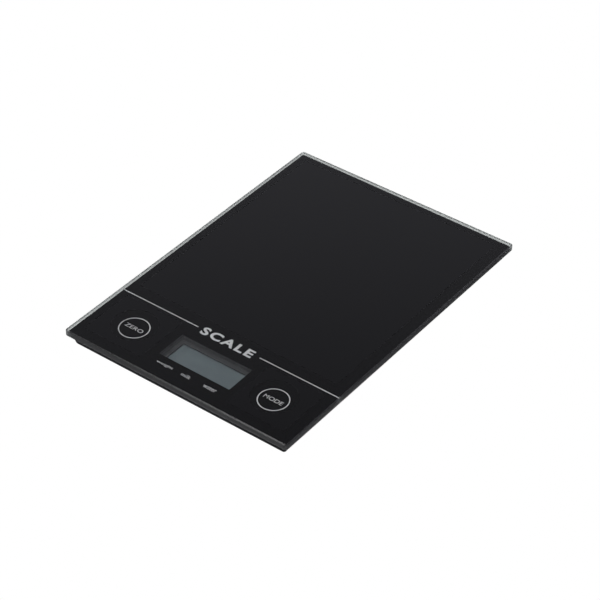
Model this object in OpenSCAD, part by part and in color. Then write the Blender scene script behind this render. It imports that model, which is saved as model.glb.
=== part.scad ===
// Slim glass-topped electronic kitchen scale, four load-cell feet, coin battery.
// Millimetres. +Z is up, -Y is the display end. The origin is on the worktop under the middle.

/* [Glass platform] */
// Width of the glass, left to right
plate_w = 140; // [136:1:220]
// Length of the glass, display end to far end
plate_l = 200; // [190:1:300]
// Thickness of the glass
plate_t = 4; // [3:0.5:8]
// Plan radius of the glass corners
plate_r = 1.5; // [1:0.5:12]
// Ground bevel along the glass edges
arris = 0.5; // [0.2:0.1:1]

/* [Housing tray] */
// Height of the tray from its flat underside to its rim
tray_h = 9.4; // [9.2:0.2:16]
// Thickness of the tray's floor and flanks
wall = 1.6; // [1.2:0.1:1.8]
// How far the tray's rim stands in from the glass edge
rim_inset = 2; // [1:0.1:4]
// How far the flat underside stands in from the glass edge
base_inset = 11; // [9:0.5:16]
// Height of the steep band under the rim
side_h = 4.4; // [3:0.1:5]
// How far that band leans in from top to bottom
side_lean = 1.4; // [0.8:0.1:2]
// Plan radius of the tray's rim corners
tray_r = 3; // [2:0.5:12]
// Width of the rim that the tape sticks to
rim_w = 4.2; // [3.5:0.1:6]
// Thickness of the bonding tape
tape_t = 0.5; // [0.2:0.1:1]

/* [Feet and load cells] */
// Height of the tray's underside above the worktop
stand_h = 2.6; // [2:0.1:5]
// Diameter of a foot where it passes the tray's floor
foot_d = 18; // [14:0.5:24]
// Diameter of the rubber pad in a foot
pad_d = 15; // [10:0.5:15]
// Gap under a load cell that stops the foot's shoulder when the scale is overloaded
foot_stop = 0.4; // [0.2:0.1:0.8]
// Thickness of the load cell's steel
cell_t = 1.2; // [0.8:0.1:2]
// Width of the load cell
cell_w = 18; // [16:0.5:24]

/* [Display] */
// Width of the clear window in the glass print
window_w = 43.8; // [36:0.2:53]
// Depth of the clear window, front to back
window_l = 18.5; // [16:0.1:21]
// Distance of the window's middle from the front edge of the glass
window_edge = 25.85; // [25:0.05:34]
// Sideways place of the window's middle
window_x = 0.6; // [-2:0.1:2]
// How far the display frame's lip covers the cell on the long sides
lip_l = 2.4; // [1.5:0.1:3]
// How far the lip covers the cell on the short sides
lip_w = 2; // [1.5:0.1:3]

/* [Touch keys] */
// Distance of a key's middle from the centre line
key_x = 44.3; // [36:0.1:50]
// Distance of a key's middle from the front edge of the glass
key_edge = 24.3; // [16:0.1:30]
// Diameter of the electrode behind a key
key_d = 14.8; // [10:0.2:18]

/* [Battery] */
// Diameter of the coin cell
coin_d = 20; // [16:0.5:24]
// Thickness of the coin cell
coin_t = 3.2; // [2:0.1:3.2]
// Distance of the coin cell's middle from the middle of the scale, to the front
coin_y = 22.6; // [18:0.1:30]
// Width of the battery door
door_w = 26.6; // [24:0.2:34]

/* [Unit button] */
// Diameter of the button under the tray
button_d = 8; // [5:0.5:11]
// How far the button travels
button_travel = 0.25; // [0.15:0.05:0.25]

/* [Hidden] */
$fn = 48;

// Clearances
eps = 0.01;          // a slab thin enough to stand for an outline inside a hull
gap = 0.6;           // free air beside inner pieces
slip = 0.3;          // radial clearance of a foot or button in its hole
tight = 0.1;         // clearance of a pocket round what sits in it
pivot_slip = 0.06;   // radial clearance of the door's pivots
thread_slip = 0.02;  // clearance of a screw's core in its pilot hole

// Heights of the stack, worktop to glass
floor_z = stand_h + wall;
rim_z = stand_h + tray_h;
glass_z = rim_z + tape_t;
side_z = rim_z - side_h;

// The flank under the steep band
rim_band = 0.8;                                      // height of the upright rim
band_angle = atan(side_lean / (side_h - rim_band));  // lean of the band from upright
knee_steps = 3;
knee_drop = 1.3;                                     // height of the turn
knee_in = 1.1;                                       // width of the turn
knee_z = side_z - knee_drop;
knee_inset = rim_inset + side_lean + knee_in;
flank_run = base_inset - knee_inset;
flank_drop = knee_z - stand_h;
flank_len = norm([flank_run, flank_drop]);
flank_rate = flank_run / flank_drop;                 // run of the flank for each millimetre down
flank_angle = atan(flank_rate);
skin_in = wall * flank_drop / flank_len;             // the inner skin, moved square to the flank
skin_up = wall * flank_run / flank_len;
inner_inset = rim_inset + rim_w;
function flank_inner(z) = knee_inset + skin_in + (knee_z + skin_up - z) * flank_rate;
cavity_knee_z = knee_z + skin_up - (inner_inset - knee_inset - skin_in) / flank_rate;

// Screws
screw_core = 0.8;                                    // radius of a pilot hole
screw_pass = 1.1;                                    // radius of a clearance hole
head_r = 1.7;
head_h = 1.1;
boss_r = 2.1;
screw_bite = 3;                                      // depth of a pilot hole below its boss

// Feet
flange_r = foot_d / 2 + 1.5;
flange_t = 0.85;
flange_z = floor_z + 0.05;
pad_stand = 0.9;                                     // how far a pad stands out of its foot
pad_seat = 0.8;                                      // depth of the pad's seat
stem_r = 3;
tip_r = 1.5;
cell_z = floor_z + 2.4;                              // underside of the load cells
cell_screw = flange_r + 0.4 + boss_r;                // from the foot's middle to a load-cell screw
cell_half = cell_screw + 2.5;
foot_x = plate_w / 2 - flank_inner(floor_z) - flange_r - gap;
foot_y = plate_l / 2 - flank_inner(cell_z) - cell_half - gap;
tongue_w = 7.2;
slot_w = 1.4;
tongue_free = 6;                                     // from the foot's middle to the tongue's free end
tongue_root = 8;                                     // from the foot's middle to the slots' ends
gauge_w = 6;
gauge_t = 0.5;
gauge_start = 2.5;

// Board and display
board_z = floor_z + 1.2;
board_t = 1;
board_top = board_z + board_t;
lcd_y = -plate_l / 2 + window_edge;
film_t = 0.2;
lcd_glass_t = 1.05;
lcd_z = board_top + 0.1;                             // underside of the display's reflector
rear_glass_z = lcd_z + film_t;
front_glass_z = rear_glass_z + lcd_glass_t;
front_film_z = front_glass_z + lcd_glass_t;
lcd_top = front_film_z + film_t;
lcd_w = window_w + 2.2;
lcd_l = window_l + 2;
ledge = 2.6;                                         // contact ledge along the far side of the display
frame_w = lcd_w + 3.6;
frame_l = lcd_l + 3.9;
lip_t = 0.85;
gasket_t = 0.7;
ear_t = 1.6;
ear_w = 5.6;
board_screw_x = frame_w / 2 + 3.2;
board_screw_y = 8;
board_w = 2 * board_screw_x + 6;
board_front = -plate_l / 2 + flank_inner(board_z) + gap + 0.6;
pad_strip = 5.4;                                     // strip of the board behind the display frame
board_back = lcd_y + frame_l / 2 + pad_strip;

// Battery bay
hinge_z = stand_h + 1;
door_t = 1.4;
door_in = 0.2;                                       // gap round the battery door
bay_y = -coin_y;
bay_r = coin_d / 2 + 0.5;
bay_front = bay_y - coin_d / 2 - 4.9;                // the door recess, front and back
bay_back = bay_y + coin_d / 2 + 5.1;
hinge_y = bay_back - 1.3;
recess_w = door_w + 2 * door_in;
recess_top = stand_h + door_t + tight;
ceiling_t = 1.5;
barrel_r = 0.8;
pivot_r = 0.5;
pivot_len = 1.1;
coin_z = recess_top + 0.5;
coin_cap_t = 0.6;
coin_top = coin_z + coin_t;
roof_z = coin_top + 1.6;
roof_t = 1.2;
notch_w = 10;                                        // finger notch beside the coin cell
notch_front = bay_front + 1.8;
leaf_t = 0.3;
leaf_w = 5;
tab_h = 0.6;                                         // how far the contacts stand out above the bay
tab_y = bay_y + bay_r - 0.8;                         // front face of the leaf's tab
blade_gap = 0.05;                                    // from the cell's rim to the blade
scallop_r = 6;                                       // finger scallop in front of the door
grip_w = 10;                                         // grip grooves on the door
grip_run = 0.8;
grip_pitch = 1.6;
grip_depth = 0.4;
grip_first = 2;                                      // from the door's front edge

// Unit button
button_y = lcd_y + 8.1;
button_z = stand_h + 0.3;
button_flange_z = floor_z + 0.1;
button_flange_t = 0.5;
dome_t = 0.3;
dome_r = 3;
dome_z = board_z - dome_t;

// Pillars that carry the middle of the glass
pillar_r = 4.5;
pillar_core = 2.5;
pillar_pad_r = 4;
pillar_pad_t = 1;
pillar_x = [-28, 0, 28];
pillar_y = [0.1 * plate_l, 0.3 * plate_l];
rib_t = 1.2;
rib_h = 2;

// Wires
lead_r = 0.4;
lead_pitch = 0.9;
battery_lead_r = 0.5;
wire_gap = 0.05;

// A rectangle with round corners, as exact arcs.
module round_rect(w, l, r) {
    square([w - 2 * r, l], center = true);
    square([w, l - 2 * r], center = true);
    for (sx = [-1, 1], sy = [-1, 1])
        translate([sx * (w / 2 - r), sy * (l / 2 - r)]) circle(r);
}

module slab(w, l, t, r) {
    linear_extrude(t) round_rect(w, l, r);
}

// A flat ring, w by l outside and stepped in by band.
module frame_plate(w, l, band, t, r) {
    linear_extrude(t) difference() {
        round_rect(w, l, r);
        round_rect(w - 2 * band, l - 2 * band, max(r - band, 0.4));
    }
}

// A self-tapping screw, head underside at the origin, with a cross recess.
module screw(length) {
    difference() {
        cylinder(r = head_r, h = head_h);
        for (a = [0, 90]) rotate(a) translate([-1, -0.2, head_h - 0.5]) cube([2, 0.4, 1]);
    }
    translate([0, 0, -length]) cylinder(r = screw_core - thread_slip, h = length);
}

// Routes of wires: smooth() adds points on a Catmull-Rom curve, beside() shifts a route sideways.
function unit(v) = v / norm(v);
function heading(p, i) = unit(p[min(i + 1, len(p) - 1)] - p[max(i - 1, 0)]);
function side_of(p, i) = unit(cross(heading(p, i), [0, 0, 1]));
function spline(a, b, c, d, t) =
    0.5 * (2 * b + (c - a) * t + (2 * a - 5 * b + 4 * c - d) * t * t + (3 * b - a - 3 * c + d) * t * t * t);
function smooth(p, n = 3) = [
    for (i = [0 : len(p) - 2], k = [0 : n - 1])
        spline(p[max(i - 1, 0)], p[i], p[i + 1], p[min(i + 2, len(p) - 1)], k / n),
    p[len(p) - 1]];
function beside(p, shift) = [for (i = [0 : len(p) - 1]) p[i] + shift * side_of(p, i)];

module wire(p, r, sides = 6) {
    n = len(p);
    rings = [for (i = [0 : n - 1]) let (s = side_of(p, i), u = cross(s, heading(p, i)))
        for (k = [0 : sides - 1]) p[i] + r * (cos(360 * k / sides) * s + sin(360 * k / sides) * u)];
    walls = [for (i = [0 : n - 2], k = [0 : sides - 1]) let (m = (k + 1) % sides)
        [i * sides + k, i * sides + m, (i + 1) * sides + m, (i + 1) * sides + k]];
    polyhedron(rings, concat([[for (k = [sides - 1 : -1 : 0]) k]], walls,
        [[for (k = [0 : sides - 1]) (n - 1) * sides + k]]));
}

module glass_platform() {
    color([0.08, 0.08, 0.09]) hull() {
        translate([0, 0, glass_z])
            slab(plate_w - 2 * arris, plate_l - 2 * arris, plate_t, plate_r - arris / 2, $fn = 32);
        translate([0, 0, glass_z + arris])
            slab(plate_w, plate_l, plate_t - 2 * arris, plate_r, $fn = 32);
    }
}

module bonding_tape() {
    edge = 0.4;
    color([0.1, 0.1, 0.1]) translate([0, 0, rim_z])
        frame_plate(plate_w - 2 * (rim_inset + edge), plate_l - 2 * (rim_inset + edge),
            rim_w - 2 * edge, tape_t, tray_r - edge);
}

// Insets and heights up the tray's outside: flank, rounded knee, leaning band, upright rim.
function knee_point(i) = let (a = band_angle + (flank_angle - band_angle) * i / knee_steps)
    [rim_inset + side_lean + knee_in * (cos(band_angle) - cos(a)) / (cos(band_angle) - cos(flank_angle)),
        side_z - knee_drop * (sin(a) - sin(band_angle)) / (sin(flank_angle) - sin(band_angle))];
outer_edge = concat([[base_inset, stand_h]], [for (i = [knee_steps : -1 : 0]) knee_point(i)],
    [[rim_inset, rim_z - rim_band], [rim_inset, rim_z]]);
inner_edge = [[flank_inner(floor_z), floor_z], [inner_inset, cavity_knee_z], [inner_inset, rim_z + 1]];

// A section across a span, from the insets and heights of one of its edges.
function across(size, edge) = concat([for (p = edge) [size / 2 - p[0], p[1]]],
    [for (i = [len(edge) - 1 : -1 : 0]) [edge[i][0] - size / 2, edge[i][1]]]);

// The same edge on all four sides, mitred at the corners.
module dished(edge) {
    intersection() {
        rotate([90, 0, 0]) linear_extrude(plate_l, center = true) polygon(across(plate_w, edge));
        rotate([90, 0, 90]) linear_extrude(plate_w, center = true) polygon(across(plate_l, edge));
    }
}

module tray_outside() {
    intersection() {
        dished(outer_edge);
        linear_extrude(rim_z + 1) round_rect(plate_w - 2 * rim_inset, plate_l - 2 * rim_inset, tray_r);
    }
}

module tray_inside() {
    dished(inner_edge);
}

module at_feet() {
    for (sx = [-1, 1], sy = [-1, 1]) translate([sx * foot_x, sy * foot_y, 0]) children();
}

module at_cell_screws() {
    at_feet() for (s = [-1, 1]) translate([0, s * cell_screw, 0]) children();
}

module at_board_screws() {
    for (sx = [-1, 1], sy = [-1, 1])
        translate([sx * board_screw_x, lcd_y + sy * board_screw_y, 0]) children();
}

module at_pillars() {
    for (x = pillar_x, y = pillar_y) translate([x, y, 0]) children();
}

// A box given by its lowest and highest corners.
module span(lo, hi) {
    translate(lo) cube(hi - lo);
}

module bay_block() {
    span([-recess_w / 2 - 1.5, bay_front - 1.5, floor_z - eps],
        [recess_w / 2 + 1.5, bay_back + 1.5, recess_top + ceiling_t]);
    translate([0, bay_y, floor_z]) cylinder(r = bay_r + 1.5, h = roof_z + roof_t - floor_z);
    span([-notch_w / 2 - 1.5, notch_front - 1.5, floor_z],
        [notch_w / 2 + 1.5, bay_y, roof_z + roof_t]);
}

module bay_hollow() {
    low = stand_h - 1;
    span([-recess_w / 2, bay_front, low], [recess_w / 2, bay_back, recess_top]);
    span([-recess_w / 2, hinge_y - 1.4, low], [recess_w / 2, bay_back, hinge_z + barrel_r + 0.4]);
    translate([0, bay_y, low]) cylinder(r = bay_r, h = roof_z - low);
    span([-notch_w / 2, notch_front, low], [notch_w / 2, bay_y, roof_z]);
    translate([0, bay_front, low]) cylinder(r = scallop_r, h = 1 + wall / 2);
    // pivots
    for (s = [-1, 1]) translate([s * (recess_w / 2 - 0.1), hinge_y, hinge_z])
        rotate([0, s * 90, 0]) cylinder(r = pivot_r + pivot_slip, h = pivot_len + 0.3);
    // slots for the two contacts
    span([-leaf_w / 2 - tight, tab_y - tight, roof_z - 1],
        [leaf_w / 2 + tight, tab_y + leaf_t + tight, roof_z + roof_t + 1]);
    span([coin_d / 2 - tight, bay_y - leaf_w / 2 - tight, coin_z],
        [coin_d / 2 + leaf_t + 2 * tight + blade_gap, bay_y + leaf_w / 2 + tight, roof_z + roof_t + 1]);
}

module tray_ribs() {
    rib_end = plate_w / 2 - flank_inner(floor_z) + 1;
    rear = foot_y + cell_half;
    for (y = [0, 0.2 * plate_l]) span([-rib_end, y, floor_z - eps], [rib_end, y + rib_t, floor_z + rib_h]);
    for (x = [-18, 18])
        span([x - rib_t / 2, 0, floor_z - eps], [x + rib_t / 2, rear, floor_z + rib_h]);
    span([-foot_x + flange_r + 1.5, 0.4 * plate_l, floor_z - eps],
        [foot_x - flange_r - 1.5, 0.4 * plate_l + rib_t, floor_z + rib_h]);
}

module housing_tray() {
    color([0.07, 0.07, 0.08]) difference() {
        union() {
            difference() {
                tray_outside();
                tray_inside();
            }
            at_cell_screws() translate([0, 0, floor_z - eps])
                cylinder(r = boss_r, h = cell_z - floor_z + eps);
            at_board_screws() translate([0, 0, floor_z - eps])
                cylinder(r = boss_r, h = board_z - floor_z + eps);
            at_pillars() translate([0, 0, floor_z - eps])
                cylinder(r = pillar_r, h = glass_z - pillar_pad_t - floor_z + eps);
            tray_ribs();
            bay_block();
        }
        at_feet() translate([0, 0, stand_h - 1]) cylinder(r = foot_d / 2 + slip, h = wall + 2);
        at_cell_screws() translate([0, 0, cell_z - screw_bite]) cylinder(r = screw_core, h = screw_bite + 1);
        at_board_screws() translate([0, 0, floor_z - 0.8]) cylinder(r = screw_core, h = 4);
        at_pillars() translate([0, 0, floor_z + 1]) cylinder(r = pillar_core, h = glass_z);
        translate([0, button_y, stand_h - 1]) cylinder(r = button_d / 2 + slip, h = wall + 2);
        bay_hollow();
    }
}

module glass_support_pads() {
    color([0.2, 0.2, 0.2]) at_pillars() translate([0, 0, glass_z - pillar_pad_t])
        difference() {
            cylinder(r = pillar_pad_r, h = pillar_pad_t);
            translate([0, 0, -1]) cylinder(r = pillar_core, h = pillar_pad_t + 2);
        }
}

module main_board() {
    color([0.05, 0.32, 0.16]) difference() {
        span([-board_w / 2, board_front, board_z], [board_w / 2, board_back, board_top]);
        at_board_screws() translate([0, 0, board_z - 1]) cylinder(r = screw_pass, h = board_t + 2);
    }
}

// Small surface-mounted parts in a row under the board, clear of the button and the bosses.
module board_components() {
    part_t = 0.6;
    row_y = board_front + 5;
    color([0.25, 0.2, 0.15]) {
        for (i = [0 : 7]) translate([-16 + i * 4.2, row_y, board_z - part_t]) cube([1.6, 0.8, part_t]);
        for (s = [-1, 1]) translate([s * 20 - 1.5, board_back - 8, board_z - 0.8]) cube([3, 1.5, 0.8]);
    }
}

module controller_chip() {
    color([0.03, 0.03, 0.03]) translate([-14, lcd_y - 1, board_z - 0.9]) cylinder(r1 = 4, r2 = 5.5, h = 0.9);
}

module board_screws() {
    color("silver") at_board_screws() translate([0, 0, board_top + ear_t])
        screw(board_top + ear_t - floor_z + 0.6);
}

module lcd_frame() {
    top = glass_z - gasket_t;
    color([0.1, 0.1, 0.11]) difference() {
        union() {
            translate([window_x, lcd_y, board_top]) slab(frame_w, frame_l, top - board_top, 1);
            at_board_screws()
                span([-ear_w / 2, -ear_w / 2, board_top], [ear_w / 2, ear_w / 2, board_top + ear_t]);
            for (s = [-1, 1]) translate([0, lcd_y + s * board_screw_y, 0])
                span([-board_screw_x, -ear_w / 2, board_top], [board_screw_x, ear_w / 2, board_top + ear_t]);
        }
        translate([window_x, lcd_y, board_top - 1]) linear_extrude(lcd_top + 0.05 - board_top + 1)
            square([lcd_w + 0.4, lcd_l + 0.4], center = true);
        translate([window_x, lcd_y, board_top]) linear_extrude(glass_z)
            square([window_w - 2 * lip_w, window_l - 2 * lip_l], center = true);
        translate([window_x, lcd_y, lcd_top + 0.05 + lip_t]) linear_extrude(glass_z)
            square([window_w + 0.7, window_l + 0.6], center = true);
        at_board_screws() translate([0, 0, board_top - 1]) cylinder(r = screw_pass, h = ear_t + 2);
    }
}

module lcd_gasket() {
    color([0.05, 0.05, 0.05]) translate([window_x, lcd_y, glass_z - gasket_t]) linear_extrude(gasket_t)
        difference() {
            square([frame_w, frame_l], center = true);
            square([window_w + 0.7, window_l + 0.6], center = true);
        }
}

module lcd_layer(z, w, l, t, shift = 0) {
    translate([window_x, lcd_y + shift, z]) linear_extrude(t) square([w, l], center = true);
}

module lcd_front_polariser() {
    color([0.45, 0.5, 0.5]) lcd_layer(front_film_z, lcd_w - 2.6, lcd_l - 3, film_t);
}

module lcd_front_glass() {
    color([0.6, 0.66, 0.66]) lcd_layer(front_glass_z, lcd_w, lcd_l, lcd_glass_t);
}

module lcd_rear_glass() {
    color([0.6, 0.66, 0.66]) lcd_layer(rear_glass_z, lcd_w, lcd_l - ledge, lcd_glass_t, -ledge / 2);
}

module lcd_reflector() {
    color([0.7, 0.72, 0.7]) lcd_layer(lcd_z, lcd_w - 2.6, lcd_l - ledge - 1, film_t, -ledge / 2);
}

module zebra_connector() {
    strip_w = 1.8;
    color([0.85, 0.6, 0.65])
        lcd_layer(board_top, lcd_w - 4, strip_w, front_glass_z - board_top, (lcd_l - ledge) / 2);
}

module touch_pad(side) {
    color([0.75, 0.45, 0.2]) translate([side * key_x, -plate_l / 2 + key_edge, glass_z - 0.6])
        cylinder(d = key_d, h = 0.6);
}

// From the electrode over the load cell, then down to the edge of the board.
module touch_lead(side) {
    y = -plate_l / 2 + key_edge;
    under = glass_z - 0.6 - lead_r - wire_gap;
    on_board = board_top + lead_r + wire_gap;
    color("gray") wire(smooth([
        [side * (key_x - 2), y, under],
        [side * (key_x - key_d / 2), y, under],
        [side * (board_w / 2 + 1.5), lcd_y + 0.5, under - 0.8],
        [side * (board_w / 2 - 1.2), lcd_y + 0.4, on_board + 1],
        [side * (board_w / 2 - 2.6), lcd_y + 0.2, on_board]]), lead_r);
}

// A leaf that springs down from the bay's roof onto the cell's cap, its tab passing the roof.
module battery_contact_negative() {
    y = tab_y;
    touch = bay_y - 1.5;
    low = coin_top + 0.02;
    hang = roof_z - leaf_t;
    color([0.8, 0.75, 0.6]) translate([-leaf_w / 2, 0, 0])
        rotate([90, 0, 90]) linear_extrude(leaf_w) polygon([
        [y + leaf_t, roof_z + roof_t + tab_h], [y, roof_z + roof_t + tab_h], [y, roof_z],
        [y - 2.5, roof_z], [y - 3.5, roof_z - 0.1], [touch + 0.8, low + leaf_t], [touch - 0.8, low + leaf_t],
        [touch - 2, low + leaf_t + 0.6], [touch - 2.2, low + 0.45], [touch - 0.9, low], [touch + 0.9, low],
        [y - 3.6, hang - 0.15], [y - 2.4, hang], [y + leaf_t, hang]]);
}

// A blade against the cell's rim, held in a slot of the bay's wall.
module battery_contact_positive() {
    x = coin_d / 2 + blade_gap;
    color([0.8, 0.75, 0.6])
        span([x, bay_y - leaf_w / 2, coin_z + 0.2],
            [x + leaf_t, bay_y + leaf_w / 2, roof_z + roof_t + tab_h]);
}

module battery_lead(route) {
    wire(smooth(route), battery_lead_r);
}

module battery_lead_negative() {
    over = roof_z + roof_t + battery_lead_r + wire_gap;
    on_board = board_top + battery_lead_r + wire_gap;
    color([0.05, 0.05, 0.05]) battery_lead([
        [-leaf_w / 2 - battery_lead_r - 0.15, tab_y + 0.4, over], [-5.5, tab_y - 1.5, over],
        [-9, bay_y + 2, over], [-11.5, bay_y - 9, over], [-14, bay_front - 2, over - 2.5],
        [-11, bay_front - 11, on_board + 1], [-9, board_back + 3, on_board + 0.3],
        [-8, board_back - 2.2, on_board]]);
}

module battery_lead_positive() {
    over = roof_z + roof_t + battery_lead_r + wire_gap;
    on_board = board_top + battery_lead_r + wire_gap;
    x = coin_d / 2 + blade_gap + leaf_t + battery_lead_r + 0.15;
    color([0.7, 0.05, 0.05]) battery_lead([
        [x, bay_y + 1.5, over], [x + 0.5, bay_y - 4, over], [x + 1.8, bay_y - 9, over - 0.2],
        [14, bay_front - 2, over - 2.5], [11, bay_front - 11, on_board + 1],
        [9, board_back + 3, on_board + 0.3], [8, board_back - 2.2, on_board]]);
}

module coin_battery() {
    color("silver") translate([0, bay_y, coin_z]) {
        cylinder(d = coin_d, h = coin_t - coin_cap_t);
        cylinder(d = coin_d - 3, h = coin_t);
    }
}

// A flat door with a barrel and two pivots along its back edge and a grip lip in front.
module battery_door() {
    front = bay_front + door_in;
    color([0.09, 0.09, 0.1]) difference() {
        union() {
            span([-door_w / 2, front, stand_h], [door_w / 2, hinge_y, stand_h + door_t]);
            translate([-door_w / 2, hinge_y, hinge_z]) rotate([0, 90, 0]) cylinder(r = barrel_r, h = door_w);
            translate([-door_w / 2 - pivot_len, hinge_y, hinge_z]) rotate([0, 90, 0])
                cylinder(r = pivot_r, h = door_w + 2 * pivot_len);
        }
        for (i = [0 : 3]) let (y = front + grip_first + grip_pitch * i)
            span([-grip_w / 2, y, stand_h - 1], [grip_w / 2, y + grip_run, stand_h + grip_depth]);
    }
}

module unit_button() {
    color([0.3, 0.3, 0.32]) translate([0, button_y, 0]) {
        translate([0, 0, button_z]) cylinder(d = button_d, h = button_flange_z - button_z + eps);
        translate([0, 0, button_flange_z]) cylinder(r = button_d / 2 + 1.2, h = button_flange_t);
        translate([0, 0, button_flange_z]) cylinder(r = 1, h = dome_z - button_flange_z);
    }
}

module unit_switch_dome() {
    color("silver") translate([0, button_y, dome_z]) cylinder(r1 = 1.2, r2 = dome_r, h = dome_t);
}

module foot(sx, sy) {
    color([0.07, 0.07, 0.08]) translate([sx * foot_x, sy * foot_y, 0]) difference() {
        union() {
            translate([0, 0, pad_stand]) cylinder(d = foot_d, h = flange_z - pad_stand + eps);
            translate([0, 0, flange_z]) cylinder(r = flange_r, h = flange_t);
            translate([0, 0, flange_z]) cylinder(r = stem_r, h = cell_z - flange_z - foot_stop);
            translate([0, 0, flange_z]) cylinder(r = tip_r, h = cell_z - flange_z);
        }
        translate([0, 0, pad_stand - 1]) cylinder(r = pad_d / 2 + tight, h = 1 + pad_seat);
    }
}

module foot_pad(sx, sy) {
    groove_r = pad_d / 2 - 2;
    color([0.12, 0.12, 0.12]) translate([sx * foot_x, sy * foot_y, 0]) difference() {
        cylinder(d = pad_d, h = pad_stand + pad_seat);
        difference() {
            translate([0, 0, -1]) cylinder(r = groove_r, h = 1.4);
            translate([0, 0, -2]) cylinder(r = groove_r - 1, h = 4);
        }
    }
}

// A stamped steel plate whose U-shaped slot frees a tongue over the foot.
module load_cell(sx, sy) {
    color([0.7, 0.71, 0.72]) translate([sx * foot_x, sy * foot_y, cell_z])
        linear_extrude(cell_t) difference() {
        round_rect(cell_w, 2 * cell_half, 2);
        for (s = [-1, 1]) translate([0, s * cell_screw]) circle(screw_pass);
        for (s = [-1, 1]) translate([s * (tongue_w + slot_w) / 2 - slot_w / 2, 0])
            square_between(-sy * tongue_root, sy * (tongue_free + slot_w), slot_w);
        translate([-tongue_w / 2 - slot_w / 2, 0])
            square_between(sy * tongue_free, sy * (tongue_free + slot_w), tongue_w + slot_w);
    }
}

module square_between(a, b, w) {
    translate([0, min(a, b)]) square([w, abs(b - a)]);
}

module strain_gauge(sx, sy) {
    color([0.9, 0.9, 0.88]) translate([sx * foot_x, sy * (foot_y - gauge_start), cell_z + cell_t])
        translate([-gauge_w / 2, sy > 0 ? -(tongue_root - gauge_start) : 0, 0])
            cube([gauge_w, tongue_root - gauge_start, gauge_t]);
}

// Three fine wires from a gauge, past its screw, to the board's solder strip.
module cell_leads(sx, sy) {
    on_cell = cell_z + cell_t + lead_r + wire_gap;
    on_ribs = floor_z + rib_h + lead_r + 0.3;
    on_board = board_top + lead_r + wire_gap;
    start = foot_y - tongue_root;
    side = head_r + 1.8;
    head = [[foot_x - 1.6, sy * (start - 1.1), on_cell], [foot_x - side, sy * (start - 3.6), on_cell],
        [foot_x - side, sy * (foot_y - cell_half - 1), on_cell]];
    front_tail = [[foot_x - 9, board_back + 1.5, on_board + 0.4],
        [board_w / 2 - 1.5, board_back - 1.4, on_board], [board_w / 2 - 5, board_back - 2.6, on_board]];
    rear_tail = [[foot_x - 6, 0.2 * plate_l, on_ribs], [foot_x - 8.5, 0, on_ribs],
        [foot_x - 10, -0.2 * plate_l, on_board + 0.2], [board_w / 2 - 4, board_back + 4, on_board + 0.2],
        [board_w / 2 - 12, board_back - 2.2, on_board]];
    route = smooth(concat(head, sy > 0 ? rear_tail : front_tail));
    color([0.8, 0.1, 0.1]) mirror([sx > 0 ? 0 : 1, 0, 0])
        for (k = [-1 : 1]) wire(beside(route, k * lead_pitch), lead_r);
}

module load_cell_screws() {
    color("silver") at_cell_screws() translate([0, 0, cell_z + cell_t]) screw(cell_t + screw_bite - 0.2);
}

glass_platform();
bonding_tape();
housing_tray();
glass_support_pads();
main_board();
board_components();
controller_chip();
board_screws();
lcd_frame();
lcd_gasket();
lcd_front_polariser();
lcd_front_glass();
lcd_rear_glass();
lcd_reflector();
zebra_connector();
touch_pad(-1);  // touch_pad_zero
touch_pad(1);  // touch_pad_mode
touch_lead(-1);  // touch_lead_zero
touch_lead(1);  // touch_lead_mode
battery_contact_negative();
battery_contact_positive();
battery_lead_negative();
battery_lead_positive();
coin_battery();
battery_door();
unit_button();
unit_switch_dome();
foot(-1, -1);  // foot_front_left
foot(1, -1);  // foot_front_right
foot(-1, 1);  // foot_rear_left
foot(1, 1);  // foot_rear_right
foot_pad(-1, -1);  // foot_pad_front_left
foot_pad(1, -1);  // foot_pad_front_right
foot_pad(-1, 1);  // foot_pad_rear_left
foot_pad(1, 1);  // foot_pad_rear_right
load_cell(-1, -1);  // load_cell_front_left
load_cell(1, -1);  // load_cell_front_right
load_cell(-1, 1);  // load_cell_rear_left
load_cell(1, 1);  // load_cell_rear_right
strain_gauge(-1, -1);  // strain_gauge_front_left
strain_gauge(1, -1);  // strain_gauge_front_right
strain_gauge(-1, 1);  // strain_gauge_rear_left
strain_gauge(1, 1);  // strain_gauge_rear_right
cell_leads(-1, -1);  // cell_leads_front_left
cell_leads(1, -1);  // cell_leads_front_right
cell_leads(-1, 1);  // cell_leads_rear_left
cell_leads(1, 1);  // cell_leads_rear_right
load_cell_screws();
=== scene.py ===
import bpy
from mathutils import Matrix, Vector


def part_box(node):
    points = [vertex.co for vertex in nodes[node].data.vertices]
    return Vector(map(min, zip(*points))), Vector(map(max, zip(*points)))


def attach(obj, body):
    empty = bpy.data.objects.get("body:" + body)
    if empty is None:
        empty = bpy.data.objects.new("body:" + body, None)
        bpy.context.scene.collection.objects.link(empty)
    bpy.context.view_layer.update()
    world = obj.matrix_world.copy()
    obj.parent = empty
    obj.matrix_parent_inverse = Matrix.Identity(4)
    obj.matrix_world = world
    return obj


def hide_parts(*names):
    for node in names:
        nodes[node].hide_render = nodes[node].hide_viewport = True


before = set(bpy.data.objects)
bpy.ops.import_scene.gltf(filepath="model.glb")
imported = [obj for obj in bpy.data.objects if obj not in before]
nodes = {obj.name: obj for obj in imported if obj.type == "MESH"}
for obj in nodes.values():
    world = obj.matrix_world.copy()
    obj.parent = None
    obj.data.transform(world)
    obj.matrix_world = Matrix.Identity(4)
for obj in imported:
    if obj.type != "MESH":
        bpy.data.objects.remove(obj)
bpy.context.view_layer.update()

from math import cos, pi, radians, sin

import bmesh
import bpy
from mathutils import Matrix, Vector

# ------------------------------------------------------------------ housing tray
# The tray is injection-moulded in black ABS with a spark-eroded skin and carries everything else.
# Its walls, bosses, ribs and openings come from the frame. Its corners and the mouths round its feet and
# button are rounded here, as the mould leaves them.
MM = 0.001
BASE = "base"


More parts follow.
